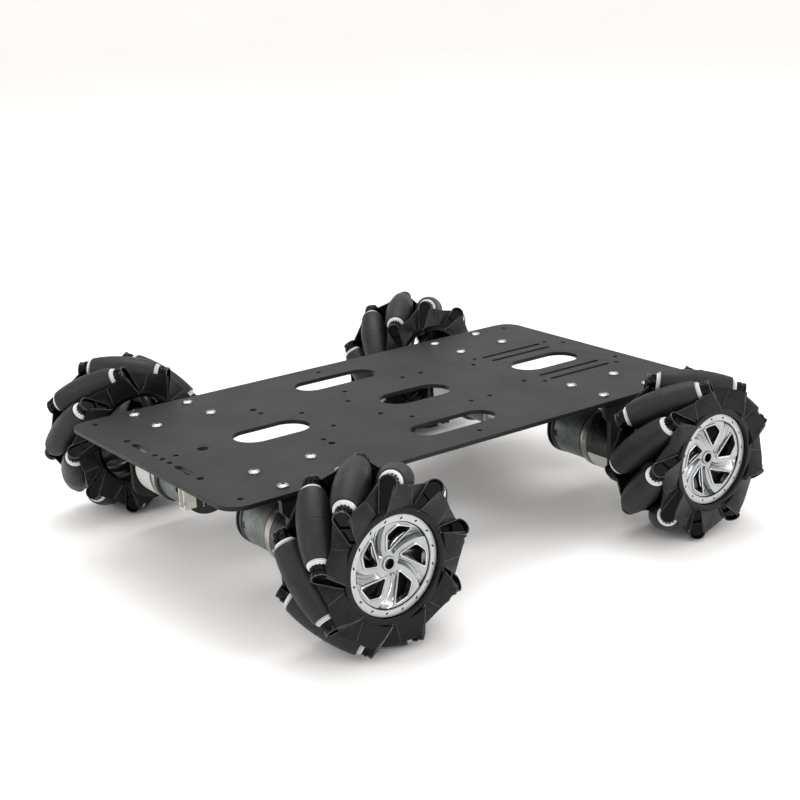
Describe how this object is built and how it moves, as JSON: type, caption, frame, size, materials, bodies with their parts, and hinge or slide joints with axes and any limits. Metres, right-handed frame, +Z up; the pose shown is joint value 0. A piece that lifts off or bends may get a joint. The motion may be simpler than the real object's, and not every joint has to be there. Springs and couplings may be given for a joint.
{
  "type": "four wheel robot chassis",
  "caption": "Flat slotted aluminium deck carried on mecanum wheels, each driven by its own geared motor on a bracket under a corner.",
  "frame": {"origin": "on the ground under the middle of the deck", "axes": "+X along the deck towards the front, +Y across it to the left, +Z up"},
  "size_m": [0.34, 0.3124, 0.0968],
  "materials": {
    "deck": "matt black anodised",
    "bracket": "black powder coat",
    "motor": "zinc plated",
    "side_plate": "semi-gloss moulded nylon",
    "hub": "satin silver",
    "roller": "matt"
  },
  "bodies": {
    "root": {"top_plate": "deck", "rear_right_motor_bracket": "bracket", "rear_right_gear_motor": "motor", "front_right_motor_bracket": "bracket", "front_right_gear_motor": "motor", "rear_left_motor_bracket": "bracket", "rear_left_gear_motor": "motor", "front_left_motor_bracket": "bracket", "front_left_gear_motor": "motor"},
    "rear_right_wheel": {"rear_right_outer_side_plate": "side_plate", "rear_right_inner_side_plate": "side_plate", "rear_right_spoked_hub": "hub"},
    "rear_right_roller_1": {"rear_right_roller_1": "roller"},
    "rear_right_roller_2": {"rear_right_roller_2": "roller"},
    "rear_right_roller_3": {"rear_right_roller_3": "roller"},
    "rear_right_roller_4": {"rear_right_roller_4": "roller"},
    "rear_right_roller_5": {"rear_right_roller_5": "roller"},
    "rear_right_roller_6": {"rear_right_roller_6": "roller"},
    "rear_right_roller_7": {"rear_right_roller_7": "roller"},
    "rear_right_roller_8": {"rear_right_roller_8": "roller"},
    "rear_right_roller_9": {"rear_right_roller_9": "roller"},
    "front_right_wheel": {"front_right_outer_side_plate": "side_plate", "front_right_inner_side_plate": "side_plate", "front_right_spoked_hub": "hub"},
    "front_right_roller_1": {"front_right_roller_1": "roller"},
    "front_right_roller_2": {"front_right_roller_2": "roller"},
    "front_right_roller_3": {"front_right_roller_3": "roller"},
    "front_right_roller_4": {"front_right_roller_4": "roller"},
    "front_right_roller_5": {"front_right_roller_5": "roller"},
    "front_right_roller_6": {"front_right_roller_6": "roller"},
    "front_right_roller_7": {"front_right_roller_7": "roller"},
    "front_right_roller_8": {"front_right_roller_8": "roller"},
    "front_right_roller_9": {"front_right_roller_9": "roller"},
    "rear_left_wheel": {"rear_left_outer_side_plate": "side_plate", "rear_left_inner_side_plate": "side_plate", "rear_left_spoked_hub": "hub"},
    "rear_left_roller_1": {"rear_left_roller_1": "roller"},
    "rear_left_roller_2": {"rear_left_roller_2": "roller"},
    "rear_left_roller_3": {"rear_left_roller_3": "roller"},
    "rear_left_roller_4": {"rear_left_roller_4": "roller"},
    "rear_left_roller_5": {"rear_left_roller_5": "roller"},
    "rear_left_roller_6": {"rear_left_roller_6": "roller"},
    "rear_left_roller_7": {"rear_left_roller_7": "roller"},
    "rear_left_roller_8": {"rear_left_roller_8": "roller"},
    "rear_left_roller_9": {"rear_left_roller_9": "roller"},
    "front_left_wheel": {"front_left_outer_side_plate": "side_plate", "front_left_inner_side_plate": "side_plate", "front_left_spoked_hub": "hub"},
    "front_left_roller_1": {"front_left_roller_1": "roller"},
    "front_left_roller_2": {"front_left_roller_2": "roller"},
    "front_left_roller_3": {"front_left_roller_3": "roller"},
    "front_left_roller_4": {"front_left_roller_4": "roller"},
    "front_left_roller_5": {"front_left_roller_5": "roller"},
    "front_left_roller_6": {"front_left_roller_6": "roller"},
    "front_left_roller_7": {"front_left_roller_7": "roller"},
    "front_left_roller_8": {"front_left_roller_8": "roller"},
    "front_left_roller_9": {"front_left_roller_9": "roller"}
  },
  "joints": [
    {"name": "rear_right_wheel_spin", "type": "hinge", "parent": "root", "child": "rear_right_wheel", "pos_m": [-0.1141, -0.133, 0.0484], "axis": [0, 1, 0], "continuous": true},
    {"name": "rear_right_roller_1_spin", "type": "hinge", "parent": "rear_right_wheel", "child": "rear_right_roller_1", "pos_m": [-0.14601, -0.133, 0.07116], "axis": [-0.4106, -0.7071, -0.5757], "continuous": true},
    {"name": "rear_right_roller_2_spin", "type": "hinge", "parent": "rear_right_wheel", "child": "rear_right_roller_2", "pos_m": [-0.12391, -0.133, 0.08635], "axis": [-0.6846, -0.7071, -0.177], "continuous": true},
    {"name": "rear_right_roller_3_spin", "type": "hinge", "parent": "rear_right_wheel", "child": "rear_right_roller_3", "pos_m": [-0.09722, -0.133, 0.08378], "axis": [-0.6382, -0.7071, 0.3044], "continuous": true},
    {"name": "rear_right_roller_4_spin", "type": "hinge", "parent": "rear_right_wheel", "child": "rear_right_roller_4", "pos_m": [-0.07843, -0.133, 0.06466], "axis": [-0.2932, -0.7071, 0.6434], "continuous": true},
    {"name": "rear_right_roller_5_spin", "type": "hinge", "parent": "rear_right_wheel", "child": "rear_right_roller_5", "pos_m": [-0.07633, -0.133, 0.03792], "axis": [0.189, -0.7071, 0.6814], "continuous": true},
    {"name": "rear_right_roller_6_spin", "type": "hinge", "parent": "rear_right_wheel", "child": "rear_right_roller_6", "pos_m": [-0.0919, -0.133, 0.01609], "axis": [0.5827, -0.7071, 0.4005], "continuous": true},
    {"name": "rear_right_roller_7_spin", "type": "hinge", "parent": "rear_right_wheel", "child": "rear_right_roller_7", "pos_m": [-0.11786, -0.133, 0.00938], "axis": [0.7039, -0.7071, -0.0678], "continuous": true},
    {"name": "rear_right_roller_8_spin", "type": "hinge", "parent": "rear_right_wheel", "child": "rear_right_roller_8", "pos_m": [-0.14206, -0.133, 0.02092], "axis": [0.4956, -0.7071, -0.5043], "continuous": true},
    {"name": "rear_right_roller_9_spin", "type": "hinge", "parent": "rear_right_wheel", "child": "rear_right_roller_9", "pos_m": [-0.15318, -0.133, 0.04532], "axis": [0.0555, -0.7071, -0.7049], "continuous": true},
    {"name": "front_right_wheel_spin", "type": "hinge", "parent": "root", "child": "front_right_wheel", "pos_m": [0.1141, -0.133, 0.0484], "axis": [0, 1, 0], "continuous": true},
    {"name": "front_right_roller_1_spin", "type": "hinge", "parent": "front_right_wheel", "child": "front_right_roller_1", "pos_m": [0.07682, -0.133, 0.06051], "axis": [0.2185, -0.7071, 0.6725], "continuous": true},
    {"name": "front_right_roller_2_spin", "type": "hinge", "parent": "front_right_wheel", "child": "front_right_roller_2", "pos_m": [0.09333, -0.133, 0.08164], "axis": [0.5997, -0.7071, 0.3747], "continuous": true},
    {"name": "front_right_roller_3_spin", "type": "hinge", "parent": "front_right_wheel", "child": "front_right_roller_3", "pos_m": [0.11956, -0.133, 0.08722], "axis": [0.7002, -0.7071, -0.0984], "continuous": true},
    {"name": "front_right_roller_4_spin", "type": "hinge", "parent": "front_right_wheel", "child": "front_right_roller_4", "pos_m": [0.14323, -0.133, 0.07463], "axis": [0.4731, -0.7071, -0.5255], "continuous": true},
    {"name": "front_right_roller_5_spin", "type": "hinge", "parent": "front_right_wheel", "child": "front_right_roller_5", "pos_m": [0.15328, -0.133, 0.04977], "axis": [0.0247, -0.7071, -0.7067], "continuous": true},
    {"name": "front_right_roller_6_spin", "type": "hinge", "parent": "front_right_wheel", "child": "front_right_roller_6", "pos_m": [0.14499, -0.133, 0.02427], "axis": [-0.4353, -0.7071, -0.5572], "continuous": true},
    {"name": "front_right_roller_7_spin", "type": "hinge", "parent": "front_right_wheel", "child": "front_right_roller_7", "pos_m": [0.12225, -0.133, 0.01006], "axis": [-0.6917, -0.7071, -0.147], "continuous": true},
    {"name": "front_right_roller_8_spin", "type": "hinge", "parent": "front_right_wheel", "child": "front_right_roller_8", "pos_m": [0.0957, -0.133, 0.01379], "axis": [-0.6243, -0.7071, 0.332], "continuous": true},
    {"name": "front_right_roller_9_spin", "type": "hinge", "parent": "front_right_wheel", "child": "front_right_roller_9", "pos_m": [0.07775, -0.133, 0.03372], "axis": [-0.2649, -0.7071, 0.6556], "continuous": true},
    {"name": "rear_left_wheel_spin", "type": "hinge", "parent": "root", "child": "rear_left_wheel", "pos_m": [-0.1141, 0.133, 0.0484], "axis": [0, 1, 0], "continuous": true},
    {"name": "rear_left_roller_1_spin", "type": "hinge", "parent": "rear_left_wheel", "child": "rear_left_roller_1", "pos_m": [-0.07505, 0.133, 0.05182], "axis": [-0.0616, 0.7071, 0.7044], "continuous": true},
    {"name": "rear_left_roller_2_spin", "type": "hinge", "parent": "rear_left_wheel", "child": "rear_left_roller_2", "pos_m": [-0.08638, 0.133, 0.07612], "axis": [-0.5, 0.7071, 0.5], "continuous": true},
    {"name": "rear_left_roller_3_spin", "type": "hinge", "parent": "rear_left_wheel", "child": "rear_left_roller_3", "pos_m": [-0.11068, 0.133, 0.08745], "axis": [-0.7044, 0.7071, 0.0616], "continuous": true},
    {"name": "rear_left_roller_4_spin", "type": "hinge", "parent": "rear_left_wheel", "child": "rear_left_roller_4", "pos_m": [-0.13658, 0.133, 0.08051], "axis": [-0.5792, 0.7071, -0.4056], "continuous": true},
    {"name": "rear_left_roller_5_spin", "type": "hinge", "parent": "rear_left_wheel", "child": "rear_left_roller_5", "pos_m": [-0.15196, 0.133, 0.05855], "axis": [-0.183, 0.7071, -0.683], "continuous": true},
    {"name": "rear_left_roller_6_spin", "type": "hinge", "parent": "rear_left_wheel", "child": "rear_left_roller_6", "pos_m": [-0.14963, 0.133, 0.03183], "axis": [0.2988, 0.7071, -0.6409], "continuous": true},
    {"name": "rear_left_roller_7_spin", "type": "hinge", "parent": "rear_left_wheel", "child": "rear_left_roller_7", "pos_m": [-0.13067, 0.133, 0.01287], "axis": [0.6409, 0.7071, -0.2988], "continuous": true},
    {"name": "rear_left_roller_8_spin", "type": "hinge", "parent": "rear_left_wheel", "child": "rear_left_roller_8", "pos_m": [-0.10395, 0.133, 0.01054], "axis": [0.683, 0.7071, 0.183], "continuous": true},
    {"name": "rear_left_roller_9_spin", "type": "hinge", "parent": "rear_left_wheel", "child": "rear_left_roller_9", "pos_m": [-0.08199, 0.133, 0.02592], "axis": [0.4056, 0.7071, 0.5792], "continuous": true},
    {"name": "front_left_wheel_spin", "type": "hinge", "parent": "root", "child": "front_left_wheel", "pos_m": [0.1141, 0.133, 0.0484], "axis": [0, 1, 0], "continuous": true},
    {"name": "front_left_roller_1_spin", "type": "hinge", "parent": "front_left_wheel", "child": "front_left_roller_1", "pos_m": [0.14977, 0.133, 0.06466], "axis": [0.2932, 0.7071, -0.6434], "continuous": true},
    {"name": "front_left_roller_2_spin", "type": "hinge", "parent": "front_left_wheel", "child": "front_left_roller_2", "pos_m": [0.13098, 0.133, 0.08378], "axis": [0.6382, 0.7071, -0.3044], "continuous": true},
    {"name": "front_left_roller_3_spin", "type": "hinge", "parent": "front_left_wheel", "child": "front_left_roller_3", "pos_m": [0.10429, 0.133, 0.08635], "axis": [0.6846, 0.7071, 0.177], "continuous": true},
    {"name": "front_left_roller_4_spin", "type": "hinge", "parent": "front_left_wheel", "child": "front_left_roller_4", "pos_m": [0.08219, 0.133, 0.07116], "axis": [0.4106, 0.7071, 0.5757], "continuous": true},
    {"name": "front_left_roller_5_spin", "type": "hinge", "parent": "front_left_wheel", "child": "front_left_roller_5", "pos_m": [0.07502, 0.133, 0.04532], "axis": [-0.0555, 0.7071, 0.7049], "continuous": true},
    {"name": "front_left_roller_6_spin", "type": "hinge", "parent": "front_left_wheel", "child": "front_left_roller_6", "pos_m": [0.08614, 0.133, 0.02092], "axis": [-0.4956, 0.7071, 0.5043], "continuous": true},
    {"name": "front_left_roller_7_spin", "type": "hinge", "parent": "front_left_wheel", "child": "front_left_roller_7", "pos_m": [0.11034, 0.133, 0.00938], "axis": [-0.7039, 0.7071, 0.0678], "continuous": true},
    {"name": "front_left_roller_8_spin", "type": "hinge", "parent": "front_left_wheel", "child": "front_left_roller_8", "pos_m": [0.1363, 0.133, 0.01609], "axis": [-0.5827, 0.7071, -0.4005], "continuous": true},
    {"name": "front_left_roller_9_spin", "type": "hinge", "parent": "front_left_wheel", "child": "front_left_roller_9", "pos_m": [0.15187, 0.133, 0.03792], "axis": [-0.189, 0.7071, -0.6814], "continuous": true}
  ]
}
